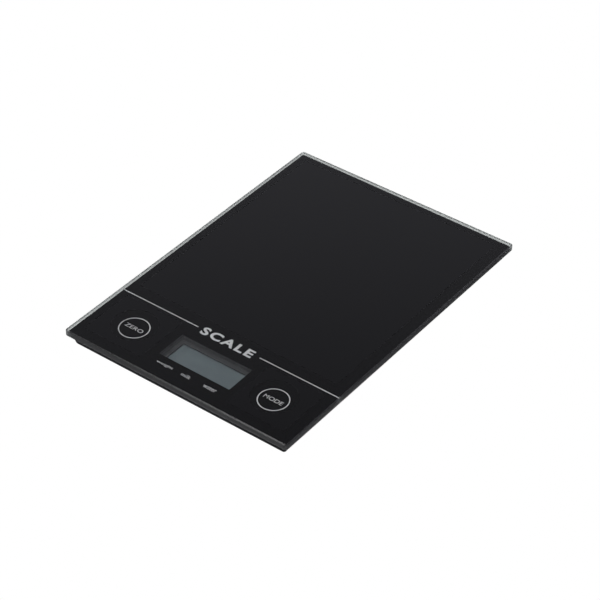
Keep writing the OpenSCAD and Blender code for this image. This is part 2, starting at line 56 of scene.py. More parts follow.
def add_node(tree, kind, inputs=None, **settings):
    """Adds a node. An input is given by name or place, as a value or as the socket that feeds it."""
    node = tree.nodes.new(kind)
    for key, value in settings.items():
        setattr(node, key, value)
    for key, value in (inputs or {}).items():
        if isinstance(value, bpy.types.NodeSocket):
            tree.links.new(value, node.inputs[key])
        else:
            node.inputs[key].default_value = value
    return node


def colour(code):
    """An sRGB hex colour as the linear colour that a shader takes."""
    levels = [int(code[i:i + 2], 16) / 255 for i in (1, 3, 5)]
    return [c / 12.92 if c <= 0.04045 else ((c + 0.055) / 1.055) ** 2.4 for c in levels] + [1.0]


def new_material(name, **inputs):
    """A material of one Principled shader. Returns the material, its node tree and the shader."""
    made = bpy.data.materials.new(name)
    made.use_nodes = True
    tree = made.node_tree
    tree.nodes.clear()
    shader = add_node(tree, "ShaderNodeBsdfPrincipled", {k.replace("_", " "): v for k, v in inputs.items()})
    add_node(tree, "ShaderNodeOutputMaterial", {"Surface": shader.outputs["BSDF"]})
    return made, tree, shader


def textured(name, dark, light, grain, rough, relief=0.0, stretch=(1, 1, 1), detail=3.0, **inputs):
    """A finish whose colour, roughness and relief follow one noise. grain is its size in metres,
    rough its lowest and highest roughness, relief its height in metres, stretch its run along each axis."""
    made, tree, shader = new_material(name, **inputs)
    place = add_node(tree, "ShaderNodeTexCoord").outputs["Object"]
    drawn = add_node(tree, "ShaderNodeMapping", {"Vector": place, "Scale": [1 / s for s in stretch]})
    noise = add_node(tree, "ShaderNodeTexNoise",
                     {"Vector": drawn.outputs[0], "Scale": 1 / grain, "Detail": detail, "Roughness": 0.6})
    ramp = add_node(tree, "ShaderNodeValToRGB", {"Fac": noise.outputs["Fac"]})
    ramp.color_ramp.elements[0].position, ramp.color_ramp.elements[1].position = 0.35, 0.65
    ramp.color_ramp.elements[0].color, ramp.color_ramp.elements[1].color = colour(dark), colour(light)
    tree.links.new(ramp.outputs["Color"], shader.inputs["Base Color"])
    spread = add_node(tree, "ShaderNodeMapRange", {"Value": noise.outputs["Fac"], "From Min": 0.3, "From Max": 0.7,
                                                   "To Min": rough[0], "To Max": rough[1]})
    tree.links.new(spread.outputs[0], shader.inputs["Roughness"])
    if relief:
        bump = add_node(tree, "ShaderNodeBump", {"Height": noise.outputs["Fac"], "Distance": relief})
        tree.links.new(bump.outputs["Normal"], shader.inputs["Normal"])
    return made


def outline(width, length, radius, z, middle=(0, 0), steps=8):
    """The points of a rectangle with round corners, counter-clockwise from above."""
    points = []
    for corner, (sx, sy) in enumerate(((1, 1), (-1, 1), (-1, -1), (1, -1))):
        for i in range(steps + 1):
            turn = pi / 2 * (corner + i / steps)
            points.append((middle[0] + sx * (width / 2 - radius) + radius * cos(turn),
                           middle[1] + sy * (length / 2 - radius) + radius * sin(turn), z))
    return points


def lofted(name, *stacks):
    """A mesh of closed solids. Each stack is a list of outlines from the bottom up, closed at both ends."""
    work = bmesh.new()
    for loops in stacks:
        rings = [[work.verts.new(p) for p in loop] for loop in loops]
        size = len(rings[0])
        for low, high in zip(rings, rings[1:]):
            for j in range(size):
                k = (j + 1) % size
                work.faces.new((low[j], low[k], high[k], high[j]))
        work.faces.new(list(reversed(rings[0])))
        work.faces.new(rings[-1])
    bmesh.ops.remove_doubles(work, verts=work.verts, dist=1e-7)
    mesh = bpy.data.meshes.new(name)
    work.to_mesh(mesh)
    work.free()
    return mesh


def placed(name, mesh, finish=None, smooth=radians(35)):
    """An object for a mesh, with its finish and its smooth shading."""
    made = bpy.data.objects.new(name, mesh)
    bpy.context.scene.collection.objects.link(made)
    if finish:
        mesh.materials.clear()
        mesh.materials.append(finish)
    mesh.shade_smooth()
    mesh.set_sharp_from_angle(angle=smooth)
    return made


def merged(node):
    """A copy of a CAD node's mesh with its loose triangles joined."""
    work = bmesh.new()
    work.from_mesh(nodes[node].data)
    bmesh.ops.remove_doubles(work, verts=work.verts, dist=1e-6)
    bmesh.ops.dissolve_limit(work, angle_limit=radians(0.5), verts=work.verts, edges=work.edges)
    mesh = bpy.data.meshes.new(node)
    work.to_mesh(mesh)
    work.free()
    return mesh


def carved(piece, operation, tool_mesh, cut_finish=None):
    """Joins, cuts or trims a piece with a closed mesh, for good. The cut faces can have a finish of their own."""
    tool = bpy.data.objects.new("tool", tool_mesh)
    bpy.context.scene.collection.objects.link(tool)
    step = piece.modifiers.new("cut", "BOOLEAN")
    step.operation, step.solver, step.object = operation, "EXACT", tool
    if cut_finish:
        tool_mesh.materials.append(cut_finish)
        step.material_mode = "TRANSFER"
    made_plain(piece)
    bpy.data.objects.remove(tool)


def made_plain(piece):
    """Applies a piece's modifiers."""
    state = bpy.context.evaluated_depsgraph_get()
    mesh = bpy.data.meshes.new_from_object(piece.evaluated_get(state), depsgraph=state)
    piece.modifiers.clear()
    piece.data = mesh


def evened(piece, smooth=radians(35)):
    """Shades a cut piece so that its flat faces stay flat beside the rounded ones."""
    piece.data.shade_smooth()
    piece.data.set_sharp_from_angle(angle=smooth)
    step = piece.modifiers.new("even", "WEIGHTED_NORMAL")
    step.keep_sharp = True
    step.weight = 100
    made_plain(piece)


def clad(piece, finish):
    """Gives a piece one finish all over."""
    piece.data.materials.clear()
    piece.data.materials.append(finish)


glass_low, glass_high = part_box("glass_platform")
tray_low, tray_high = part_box("housing_tray")
glass_w, glass_l = glass_high[0] - glass_low[0], glass_high[1] - glass_low[1]
underside, rim = tray_low[2], tray_high[2]
rim_w, rim_l = tray_high[0] - tray_low[0], tray_high[1] - tray_low[1]
trim = 0.05 * MM


def tray_level(inset, z):
    """The tray's outside at one height, inset from its rim. The corners are tightest where the band ends."""
    tightest = 1.6 * MM
    radius = 2.9 * MM - 1.1 * min(inset, tightest) + 0.6 * max(inset - tightest, 0)
    return outline(rim_w - 2 * (inset + trim), rim_l - 2 * (inset + trim), radius, z, steps=12)


def blend_points(a, corner, b, steps=8):
    """A round turn from a to b that heads for corner first. Points are (inset, height) pairs."""
    return [tuple((1 - t) ** 2 * p + 2 * t * (1 - t) * q + t * t * r for p, q, r in zip(a, corner, b))
            for t in (i / steps for i in range(steps + 1))]


# insets and heights up the outside, in millimetres from the rim and from the flat underside
height = (rim - underside) / MM
side_edge = (
    blend_points((10.9, 0.0), (8.95, 0.0), (7.3, 0.95))
    + blend_points((2.9, 3.4), (1.72, 4.1), (1.25, 5.35))
    + [(0.0, height - 0.8)]
    + blend_points((0.0, height - 0.2), (0.0, height), (0.2, height), steps=3))
tray_skin = lofted("tray_skin", [tray_level(inset * MM, underside + z * MM) for inset, z in side_edge])
tray = placed("housing_tray_shell", merged("housing_tray"))
carved(tray, "INTERSECT", tray_skin)


def mouth(width, length, radius, middle, soft=0.3 * MM):
    """A tool that rounds the lower edge of an opening by soft."""
    loops = [outline(width + 2 * soft, length + 2 * soft, radius + soft, underside - soft, middle)]
    for i in range(6):
        turn = pi / 2 * i / 5
        grow = soft * (1 - sin(turn)) - 0.02 * MM
        loops.append(outline(width + 2 * grow, length + 2 * grow, radius + grow, underside + soft * (1 - cos(turn)),
                             middle))
    return loops


def middle_of(node):
    low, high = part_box(node)
    return Vector([(a + b) / 2 for a, b in zip(low, high)])


feet = [n for n in nodes if n.startswith("foot_") and not n.startswith("foot_pad_")]
pads = [n for n in nodes if n.startswith("foot_pad_")]
door_low, door_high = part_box("battery_door")
_, pad_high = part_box(pads[0])
button_low, button_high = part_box("unit_button")
foot_r = 9 * MM
button_r = 4 * MM
slip = 0.3 * MM
mouths = [mouth(2 * (foot_r + slip), 2 * (foot_r + slip), foot_r + slip, middle_of(n)[:2]) for n in feet]
mouths.append(mouth(2 * (button_r + slip), 2 * (button_r + slip), button_r + slip, middle_of("unit_button")[:2]))
carved(tray, "DIFFERENCE", lofted("mouths", *mouths))
evened(tray)

# Moulded ABS: near black, and the spark-eroded mould leaves a fine matt grain that breaks up highlights.
# The real grit is about 0.1 mm; it is drawn at 0.5 mm so that it shows.
black_abs = textured("spark_eroded_black_abs", "#141415", "#1c1c1d", 0.5 * MM, (0.5, 0.7), 0.02 * MM,
                     Specular_IOR_Level=0.25)
clad(tray, black_abs)
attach(tray, BASE)
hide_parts("housing_tray")

# ------------------------------------------------------------------ feet and their pads
# Four round ABS feet pass through the tray's floor and press the load cells. Each holds a non-slip pad of
# moulded rubber in a shallow seat.
foot_low, foot_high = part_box(feet[0])
pitch_x = 2 * abs(middle_of(feet[0])[0])
pitch_y = 2 * abs(middle_of(feet[0])[1])


def turned(name, profile, steps=96):
    """A solid turned about Z from (radius, height) pairs, bottom to top. It starts and ends on flat faces."""
    def ring(radius, z):
        return [(radius * cos(2 * pi * i / steps), radius * sin(2 * pi * i / steps), z) for i in range(steps)]
    return lofted(name, [ring(r, z) for r, z in profile])


def rounded(r0, z0, r1, z1, steps=5):
    """(radius, height) pairs of a quarter round from (r0, z0), leaving along the radius, to (r1, z1)."""
    return [(r0 + (r1 - r0) * sin(pi / 2 * i / steps), z1 + (z0 - z1) * cos(pi / 2 * i / steps))
            for i in range(steps + 1)]


def at_four_points(name, source, finish):
    """Copies of a mesh at the four feet, made by a node tree and turned into one plain mesh."""
    tree = bpy.data.node_groups.new(name, "GeometryNodeTree")
    shape = tree.interface.new_socket("Shape", in_out="INPUT", socket_type="NodeSocketObject")
    across = tree.interface.new_socket("Pitch X", in_out="INPUT", socket_type="NodeSocketFloat")
    along = tree.interface.new_socket("Pitch Y", in_out="INPUT", socket_type="NodeSocketFloat")
    dress = tree.interface.new_socket("Finish", in_out="INPUT", socket_type="NodeSocketMaterial")
    tree.interface.new_socket("Geometry", in_out="OUTPUT", socket_type="NodeSocketGeometry")
    given = add_node(tree, "NodeGroupInput").outputs
    corners = add_node(tree, "GeometryNodeMeshGrid", {"Size X": given["Pitch X"], "Size Y": given["Pitch Y"],
                                                      "Vertices X": 2, "Vertices Y": 2})
    part = add_node(tree, "GeometryNodeObjectInfo", {"Object": given["Shape"]})
    copies = add_node(tree, "GeometryNodeInstanceOnPoints",
                      {"Points": corners.outputs["Mesh"], "Instance": part.outputs["Geometry"]})
    solid = add_node(tree, "GeometryNodeRealizeInstances", {"Geometry": copies.outputs["Instances"]})
    coated = add_node(tree, "GeometryNodeSetMaterial",
                      {"Geometry": solid.outputs["Geometry"], "Material": given["Finish"]})
    add_node(tree, "NodeGroupOutput", {"Geometry": coated.outputs["Geometry"]})
    model = placed(name + "_model", source)
    piece = placed(name, bpy.data.meshes.new(name))
    step = piece.modifiers.new("copies", "NODES")
    step.node_group = tree
    for socket, value in ((shape, model), (across, pitch_x), (along, pitch_y), (dress, finish)):
        step[socket.identifier] = value
    made_plain(piece)
    bpy.data.objects.remove(model)
    return piece


foot_z, flange_z, foot_top = foot_low[2], underside + 1.65 * MM, foot_high[2]
seat_z, seat_r = foot_z + 0.8 * MM, 7.6 * MM
foot_shape = turned("foot", (
    [(0.1 * MM, seat_z), (seat_r, seat_z), (seat_r, foot_z + 0.25 * MM)]
    + [(seat_r + 0.25 * MM, foot_z)]
    + rounded(foot_r - 0.45 * MM, foot_z, foot_r, foot_z + 0.45 * MM)
    + [(foot_r, flange_z), (foot_r + 1.3 * MM, flange_z)]
    + rounded(foot_r + 1.3 * MM, flange_z, foot_r + 1.5 * MM, flange_z + 0.2 * MM, 3)
    + [(foot_r + 1.5 * MM, flange_z + 0.85 * MM), (3 * MM, flange_z + 0.85 * MM), (3 * MM, foot_top - 0.4 * MM),
       (1.5 * MM, foot_top - 0.4 * MM), (1.5 * MM, foot_top)]))
pad_r, pad_top = 7.5 * MM, pad_high[2]
groove = 0.5 * MM
pad_profile = [(0.05 * MM, 0.0), (1.6 * MM, 0.0), (1.9 * MM, groove), (2.5 * MM, groove), (2.8 * MM, 0.0),
               (4.3 * MM, 0.0), (4.6 * MM, groove), (5.2 * MM, groove), (5.5 * MM, 0.0)]
pad_profile += rounded(pad_r - 0.5 * MM, 0.0, pad_r, 0.5 * MM) + [(pad_r, pad_top), (0.05 * MM, pad_top)]
pad_shape = turned("pad", pad_profile)

# The same ABS as the tray, from a polished mould, so its highlights are tighter.
foot_abs = textured("moulded_black_abs", "#111112", "#19191a", 1.5 * MM, (0.28, 0.4), 0.004 * MM, IOR=1.54)
# Rubber: soft, dull and a little brown-grey, with a dusty bloom that makes its roughness uneven.
pad_rubber = textured("moulded_rubber", "#1a1918", "#262524", 0.8 * MM, (0.72, 0.92), 0.012 * MM, IOR=1.52)
feet_piece = at_four_points("feet", foot_shape, foot_abs)
pads_piece = at_four_points("foot_pads", pad_shape, pad_rubber)
for piece, replaced, slot in ((feet_piece, feet, "foot_abs"), (pads_piece, pads, "pad_rubber")):
    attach(piece, BASE)
    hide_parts(*replaced)

# ------------------------------------------------------------------ load cells
# Four plates of stamped spring steel with a U-shaped slot. A gauge under white silicone sits at each tongue's
# root, its wires run to the board, and two zinc-plated screws hold each plate on the tray's bosses.


def coat(finish, *names):
    """Gives CAD nodes a finish."""
    for name in names:
        mesh = nodes[name].data
        for i in range(max(1, len(mesh.materials))):
            if i < len(mesh.materials):
                mesh.materials[i] = finish
            else:
                mesh.materials.append(finish)


def named(start):
    return [n for n in nodes if n.startswith(start)]


# Cold-rolled steel: grey, with drawn-out rolling lines that stretch its highlights.
spring_steel = textured("rolled_spring_steel", "#8e9093", "#a5a7aa", 0.6 * MM, (0.26, 0.4), 0.003 * MM,
                        stretch=(1, 30, 1), Metallic=1.0)
# Silicone dabbed on by hand: milky and slightly lumpy.
silicone = textured("dabbed_silicone", "#dcdcd6", "#eeeeea", 2 * MM, (0.35, 0.5), 0.06 * MM, IOR=1.43)
# Bright zinc plate: a pale metal with a faint blue cast and a satin shine.
zinc = textured("bright_zinc_plate", "#b4b9be", "#cdd1d4", 0.7 * MM, (0.24, 0.38), 0.003 * MM, Metallic=1.0)
# PVC sleeve: smooth, slightly waxy plastic in the colour of its wire.
red_pvc = textured("red_pvc_sleeve", "#8f1613", "#a31d18", 3 * MM, (0.3, 0.42), IOR=1.53)
coat(spring_steel, *named("load_cell_front"), *named("load_cell_rear"))
coat(silicone, *named("strain_gauge_"))
coat(zinc, "load_cell_screws")
coat(red_pvc, *named("cell_leads_"))

# ------------------------------------------------------------------ circuit board
# A glass-epoxy board with a green mask. The controller is a bare chip under a blob of black epoxy, and the
# board is screwed to the tray through the ears of the display frame.

# Solder mask over copper tracks: a glossy green film that is darker between the tracks.
solder_mask = textured("green_solder_mask", "#0d3a20", "#14532d", 1.2 * MM, (0.22, 0.34), 0.01 * MM,
                       stretch=(6, 1, 1), detail=0.0, IOR=1.5)
# Fired ceramic: matt and sandy brown.
fired_ceramic = textured("fired_ceramic", "#5e4a36", "#77614a", 0.4 * MM, (0.5, 0.7), 0.01 * MM, IOR=1.6)
# Potting epoxy: poured, so it is smooth and glossy with slight sags.
epoxy = textured("poured_black_epoxy", "#0b0b0c", "#131314", 3 * MM, (0.12, 0.22), 0.05 * MM, IOR=1.55)
coat(solder_mask, "main_board")
coat(fired_ceramic, "board_components")
coat(epoxy, "controller_chip")
coat(zinc, "board_screws")

# ------------------------------------------------------------------ display
# A liquid-crystal cell: two thin glasses with polarising films, pressed on a banded rubber strip that joins
# it to the board. A frame of dark ABS holds it 2.6 mm below the window, with a foam gasket against the glass.
frame_mesh = merged("lcd_frame")
lcd_frame = placed("lcd_frame_moulding", frame_mesh)
soft = lcd_frame.modifiers.new("soft", "BEVEL")
soft.width, soft.segments, soft.limit_method, soft.angle_limit = 0.15 * MM, 2, "ANGLE", radians(60)
soft.use_clamp_overlap = True
evened(lcd_frame)

# The frame's ABS is a shade lighter than the tray's, so it reads dark grey under the window.
frame_abs = textured("moulded_grey_abs", "#222223", "#29292a", 0.5 * MM, (0.5, 0.66), 0.012 * MM, IOR=1.54)
# Polarising film: a smooth grey film with a green-blue cast, over a cell that is switched off. Its adhesive
# layer makes the tone very slightly uneven.
film = textured("grey_polarising_film", "#566064", "#5c666a", 6 * MM, (0.3, 0.36), IOR=1.49)
reflector = textured("diffuse_reflector_film", "#8b908e", "#9a9f9d", 0.4 * MM, (0.4, 0.5), IOR=1.5)
cell_glass = textured("thin_cell_glass", "#8d9a99", "#97a3a2", 5 * MM, (0.04, 0.08), IOR=1.52)
foam = textured("closed_cell_foam", "#161617", "#242425", 0.4 * MM, (0.8, 0.95), 0.05 * MM, IOR=1.4)
zebra = textured("banded_rubber", "#7c3a44", "#c88f98", 0.6 * MM, (0.5, 0.6), stretch=(1, 40, 40), IOR=1.41)
clad(lcd_frame, frame_abs)
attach(lcd_frame, BASE)
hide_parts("lcd_frame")
coat(film, "lcd_front_polariser")
coat(cell_glass, "lcd_front_glass", "lcd_rear_glass")
coat(reflector, "lcd_reflector")
coat(foam, "lcd_gasket", "bonding_tape", "glass_support_pads")
coat(zebra, "zebra_connector")

# ------------------------------------------------------------------ touch keys
# Each key is a disc of copper foil on foam behind a printed ring, with a grey wire to the board.

# Copper foil: warm metal, lightly crumpled where it is stuck down.
copper = textured("copper_foil", "#b87349", "#cc8a5e", 4 * MM, (0.24, 0.4), 0.03 * MM, Metallic=1.0)
grey_pvc = textured("grey_pvc_sleeve", "#5a5a5c", "#68686a", 3 * MM, (0.3, 0.42), IOR=1.53)
coat(copper, *named("touch_pad_"))
coat(grey_pvc, *named("touch_lead_"))

# ------------------------------------------------------------------ battery and its contacts
# A coin cell: a nickel-plated steel can crimped over a narrower cap, with a plus stamped into the can's face.
# A leaf presses on the cap and a blade on the rim, each with a wire to the board.
cell_low, cell_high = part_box("coin_battery")
cell_x, cell_y, _ = middle_of("coin_battery")
cell_r, cap_r = (cell_high[0] - cell_low[0]) / 2, (cell_high[0] - cell_low[0]) / 2 - 1.5 * MM
can_top = cell_high[2] - 0.6 * MM
cell_profile = (
    [(0.1 * MM, cell_low[2])]
    + rounded(cell_r - 0.5 * MM, cell_low[2], cell_r, cell_low[2] + 0.5 * MM)
    + [(cell_r, can_top - 0.5 * MM)]
    + [(cell_r - 0.5 * MM * (1 - cos(pi / 2 * i / 5)), can_top - 0.5 * MM * (1 - sin(pi / 2 * i / 5)))
       for i in range(1, 6)]
    + [(cap_r + 0.35 * MM, can_top), (cap_r + 0.2 * MM, can_top - 0.25 * MM), (cap_r, can_top - 0.25 * MM),
       (cap_r, cell_high[2] - 0.25 * MM), (cap_r - 0.25 * MM, cell_high[2]), (0.1 * MM, cell_high[2])])
cell_mesh = turned("coin_cell", cell_profile)
cell_mesh.transform(Matrix.Translation((cell_x, cell_y, 0)))
coin = placed("coin_cell", cell_mesh)
# Nickel plate on rolled steel: bright, faintly warm, with fine lines from the strip it was pressed from.
nickel = textured("nickel_plated_steel", "#b7b5ae", "#cbc9c2", 0.5 * MM, (0.2, 0.34), 0.003 * MM,
                  stretch=(20, 1, 1), Metallic=1.0)
# The stamp's floor is etched matt, and its colour is darker than the plate around it: painted shade in the stamp.
stamp_painted_shade = textured("etched_nickel_painted_shade", "#55544f", "#66645f", 0.3 * MM, (0.5, 0.65), 0.01 * MM, Metallic=1.0)
coin.data.materials.append(nickel)
bar, arm = 1.2 * MM, 5.6 * MM
stamp_low, stamp_high = cell_low[2] - 0.1 * MM, cell_low[2] + 0.2 * MM
for across, along in ((arm, bar), (bar, arm)):
    carved(coin, "DIFFERENCE", lofted("plus", [outline(across, along, 0.3 * MM, z, (cell_x, cell_y), steps=3)
                                               for z in (stamp_low, stamp_high)]), stamp_painted_shade)
evened(coin)

black_pvc = textured("black_pvc_sleeve", "#131314", "#1c1c1d", 3 * MM, (0.3, 0.42), IOR=1.53)
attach(coin, "coin_battery")
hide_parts("coin_battery")
coat(nickel, "battery_contact_negative", "battery_contact_positive", "unit_switch_dome")
coat(black_pvc, "battery_lead_negative")
coat(red_pvc, "battery_lead_positive")

# ------------------------------------------------------------------ battery door
# A flat ABS door on two moulded pivots. Its free edge has ribs for a fingertip.
door_w = door_high[0] - door_low[0] - 2.2 * MM
hinge_y, hinge_z = door_high[1] - 0.8 * MM, door_high[2] - 0.8 * MM
door_front, door_t = door_low[1], 1.4 * MM
door_l = hinge_y - door_front
door_middle = (0, (hinge_y + door_front) / 2)
edge = 0.25 * MM
door_loops = []
for i in range(5):
    turn = pi / 2 * i / 4
    inset = edge * (1 - sin(turn))
    door_loops.append(outline(door_w - 2 * inset, door_l - 2 * inset, 0.6 * MM, underside + edge * (1 - cos(turn)),
                              door_middle, steps=5))
for i in range(1, 5):
    turn = pi / 2 * i / 4
    inset = edge * (1 - cos(turn))
    door_loops.append(outline(door_w - 2 * inset, door_l - 2 * inset, 0.6 * MM,
                              underside + door_t - edge * (1 - sin(turn)), door_middle, steps=5))


def rod(radius, length, middle, steps=32):
    """The outlines of a round bar that lies along X, as a stack."""
    return [[(x, middle[1] + radius * cos(2 * pi * i / steps), middle[2] + radius * sin(2 * pi * i / steps))
             for i in range(steps)] for x in (middle[0] - length / 2, middle[0] + length / 2)]


door = placed("battery_door_panel", lofted("door", door_loops))
hinge = (0, hinge_y, hinge_z)
carved(door, "UNION", lofted("barrel", rod(0.8 * MM, door_w, hinge)))
carved(door, "UNION", lofted("pivots", rod(0.5 * MM, door_w + 2.2 * MM, hinge)))


def bar_row(count, spacing, length, radius, start):
    """Round bars side by side along Y, made by a node tree, as one mesh."""
    tree = bpy.data.node_groups.new("grip_grooves", "GeometryNodeTree")
    sockets = [tree.interface.new_socket(name, in_out="INPUT", socket_type=kind) for name, kind in (
        ("Count", "NodeSocketInt"), ("Spacing", "NodeSocketVector"), ("Start", "NodeSocketVector"),
        ("Length", "NodeSocketFloat"), ("Radius", "NodeSocketFloat"))]
    tree.interface.new_socket("Geometry", in_out="OUTPUT", socket_type="NodeSocketGeometry")
    given = add_node(tree, "NodeGroupInput").outputs
    points = add_node(tree, "GeometryNodeMeshLine",
                      {"Count": given["Count"], "Start Location": given["Start"], "Offset": given["Spacing"]})
    bar_shape = add_node(tree, "GeometryNodeMeshCylinder",
                         {"Vertices": 24, "Radius": given["Radius"], "Depth": given["Length"]})
    laid = add_node(tree, "GeometryNodeTransform",
                    {"Geometry": bar_shape.outputs["Mesh"], "Rotation": (0, pi / 2, 0)})
    copies = add_node(tree, "GeometryNodeInstanceOnPoints",
                      {"Points": points.outputs["Mesh"], "Instance": laid.outputs["Geometry"]})
    solid = add_node(tree, "GeometryNodeRealizeInstances", {"Geometry": copies.outputs["Instances"]})
    dressed = add_node(tree, "GeometryNodeSetMaterial",
                       {"Geometry": solid.outputs["Geometry"], "Material": black_abs})
    add_node(tree, "NodeGroupOutput", {"Geometry": dressed.outputs["Geometry"]})
    holder = placed("grip_grooves", bpy.data.meshes.new("grip_grooves"))
    step = holder.modifiers.new("bars", "NODES")
    step.node_group = tree
    for socket, value in zip(sockets, (count, spacing, start, length, radius)):
        step[socket.identifier] = value
    made_plain(holder)
    mesh = holder.data
    bpy.data.objects.remove(holder)
    return mesh


carved(door, "DIFFERENCE", bar_row(4, (0, 1.6 * MM, 0), 10 * MM, 0.55 * MM,
                                   (0, door_front + 2.4 * MM, underside - 0.15 * MM)))
evened(door)
clad(door, black_abs)
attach(door, "battery_door")
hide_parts("battery_door")

# ------------------------------------------------------------------ unit button
# A small round key in grey ABS that presses a snap dome under the board. Its face is dished for a fingertip.
button_x, button_y, _ = middle_of("unit_button")
face_z = button_low[2]
flange = underside + 1.7 * MM
button_profile = (
    [(0.05 * MM, face_z + 0.25 * MM)]
    + [(button_r * 0.8 * i / 6, face_z + 0.25 * MM * (1 - (i / 6) ** 2)) for i in range(1, 7)]
    + rounded(button_r - 0.35 * MM, face_z, button_r, face_z + 0.35 * MM)
    + [(button_r, flange), (button_r + 1.2 * MM, flange), (button_r + 1.2 * MM, flange + 0.5 * MM),
       (1 * MM, flange + 0.5 * MM), (1 * MM, button_high[2])])
button_mesh = turned("unit_button", button_profile, steps=64)
button_mesh.transform(Matrix.Translation((button_x, button_y, 0)))
button = placed("unit_key", button_mesh, smooth=radians(30))
# ABS with a mid-grey masterbatch: satin, with faint flow marks.
grey_abs = textured("moulded_mid_grey_abs", "#57575a", "#626265", 1.2 * MM, (0.34, 0.46), 0.004 * MM, IOR=1.54)
clad(button, grey_abs)
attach(button, "unit_button")
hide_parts("unit_button")

# ------------------------------------------------------------------ glass platform
# A 4 mm plate of clear tempered glass. Its faces are polished, its edges are ground satin with a small
# polished arris, and its underside is printed with black ceramic ink that leaves the display's window clear.
print_t = 0.03 * MM
top, bottom = glass_high[2], glass_low[2] + print_t
glass_r, arris = 1.5 * MM, 0.5 * MM
# the ink stops this far short of the arris, which leaves a clear border all round
ink_gap = 0.35 * MM
gasket_low, gasket_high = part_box("lcd_gasket")
window_w = gasket_high[0] - gasket_low[0] - 5.0 * MM
window_l = gasket_high[1] - gasket_low[1] - 5.9 * MM
window_x, window_y = middle_of("lcd_gasket").x - 0.4 * MM, middle_of("lcd_gasket").y
line_y = glass_low[1] + 44.7 * MM
# how far the light that enters beside a mark can run in the glass: the margin of clear polish round the marks
rim_clear, key_clear = 7 * MM, 12.2 * MM
line_clear_behind, line_clear_before = 5.8 * MM, 4.2 * MM
# where the panels beside the window start: the small words reach further on the right
panel_left, panel_right = 26.5 * MM, 28.5 * MM


def plate_level(inset, z):
    return outline(glass_w - 2 * inset, glass_l - 2 * inset, glass_r - inset / 2, z, steps=10)


def glass_plate():
    """The plate, with faces of clear polished glass (0), ground edge (1), ink (2), dressed arris (3) and
    polished glass that has nothing but black ink under it (4)."""
    work = bmesh.new()

    def ring(points):
        return [work.verts.new(p) for p in points]

    def fill(slot, *rings):
        """Faces between rings that lie in one plane, the first outermost."""
        if len(rings) == 1:
            faces = [work.faces.new(rings[0])]
        else:
            edges = []
            for loop in rings:
                for a, b in zip(loop, loop[1:] + loop[:1]):
                    edges.append(work.edges.get((a, b)) or work.edges.new((a, b)))
            made = bmesh.ops.triangle_fill(work, use_beauty=True, use_dissolve=False, edges=edges)["geom"]
            faces = [f for f in made if isinstance(f, bmesh.types.BMFace)]
        for face in faces:
            face.material_index = slot

    levels = [(arris, bottom, 3), (0.0, bottom + arris, 1), (0.0, top - arris, 3), (arris, top, 0)]
    rings = [ring(plate_level(inset, z)) for inset, z, _ in levels]
    for (low, high), (_, _, slot) in zip(zip(rings, rings[1:]), levels):
        for j in range(len(low)):
            k = (j + 1) % len(low)
            work.faces.new((low[j], low[k], high[k], high[j])).material_index = slot
    window = ring(outline(window_w, window_l, 0.4 * MM, bottom, (window_x, window_y), steps=3))
    fill(0, window)
    inked_edge = ring(plate_level(arris + ink_gap, bottom))
    fill(1, rings[0], inked_edge)
    fill(2, inked_edge, window)
    # on top: the wide field behind the line and the panel on each side of the window lie over plain ink
    field_y0, field_y1 = line_y + line_clear_behind, glass_l / 2 - rim_clear
    field_x = glass_w / 2 - rim_clear
    field = ring(outline(2 * field_x, field_y1 - field_y0, 1 * MM, top, (0, (field_y0 + field_y1) / 2), steps=3))
    fill(4, field)
    holes = [field]
    panel_y0, panel_y1 = -glass_l / 2 + rim_clear, line_y - line_clear_before
    for side, inner in ((-1, panel_left), (1, panel_right)):
        middle = (side * (inner + field_x) / 2, (panel_y0 + panel_y1) / 2)
        panel = ring(outline(field_x - inner, panel_y1 - panel_y0, 1 * MM, top, middle, steps=3))
        key = middle_of("touch_pad_mode" if side > 0 else "touch_pad_zero")
        look = ring([(key.x + key_clear * cos(2 * pi * i / 48), key.y + key_clear * sin(2 * pi * i / 48), top)
                     for i in range(48)])
        fill(0, look)
        fill(4, panel, look)
        holes.append(panel)
    fill(0, rings[-1], *holes)
    bmesh.ops.recalc_face_normals(work, faces=work.faces)
    mesh = bpy.data.meshes.new("glass_plate")
    work.to_mesh(mesh)
    work.free()
    return mesh


def wiped(tree, shader):
    """Gives polished glass its faint roller wave and the haze that wiping leaves in streaks."""
    place = add_node(tree, "ShaderNodeTexCoord").outputs["Object"]
    wave = add_node(tree, "ShaderNodeTexNoise", {"Vector": place, "Scale": 1 / (20 * MM), "Detail": 0.0})
    bend = add_node(tree, "ShaderNodeBump", {"Height": wave.outputs["Fac"], "Distance": 0.002 * MM})
    tree.links.new(bend.outputs["Normal"], shader.inputs["Normal"])
    streak = add_node(tree, "ShaderNodeMapping", {"Vector": place, "Scale": (1, 0.3, 1), "Rotation": (0, 0, 0.5)})
    haze = add_node(tree, "ShaderNodeTexNoise", {"Vector": streak.outputs[0], "Scale": 1 / (12 * MM)})
    spread = add_node(tree, "ShaderNodeMapRange", {"Value": haze.outputs["Fac"], "From Min": 0.45, "From Max": 0.8,
                                                   "To Min": 0.0, "To Max": 0.07})
    tree.links.new(spread.outputs[0], shader.inputs["Roughness"])


# Polished float glass: clear, with a hint of green, and so flat that only tempering's faint roller wave,
# about 20 mm long, bends what it mirrors.
clear, tree, shader = new_material("polished_float_glass", Transmission_Weight=1.0, IOR=1.52,
                                   Base_Color=colour("#fafdfc"))
wiped(tree, shader)
# The same glass over ink alone: it shows black under the same polish.
inked, tree, shader = new_material("polished_glass_over_ink", IOR=1.52, Base_Color=colour("#040405"))
wiped(tree, shader)
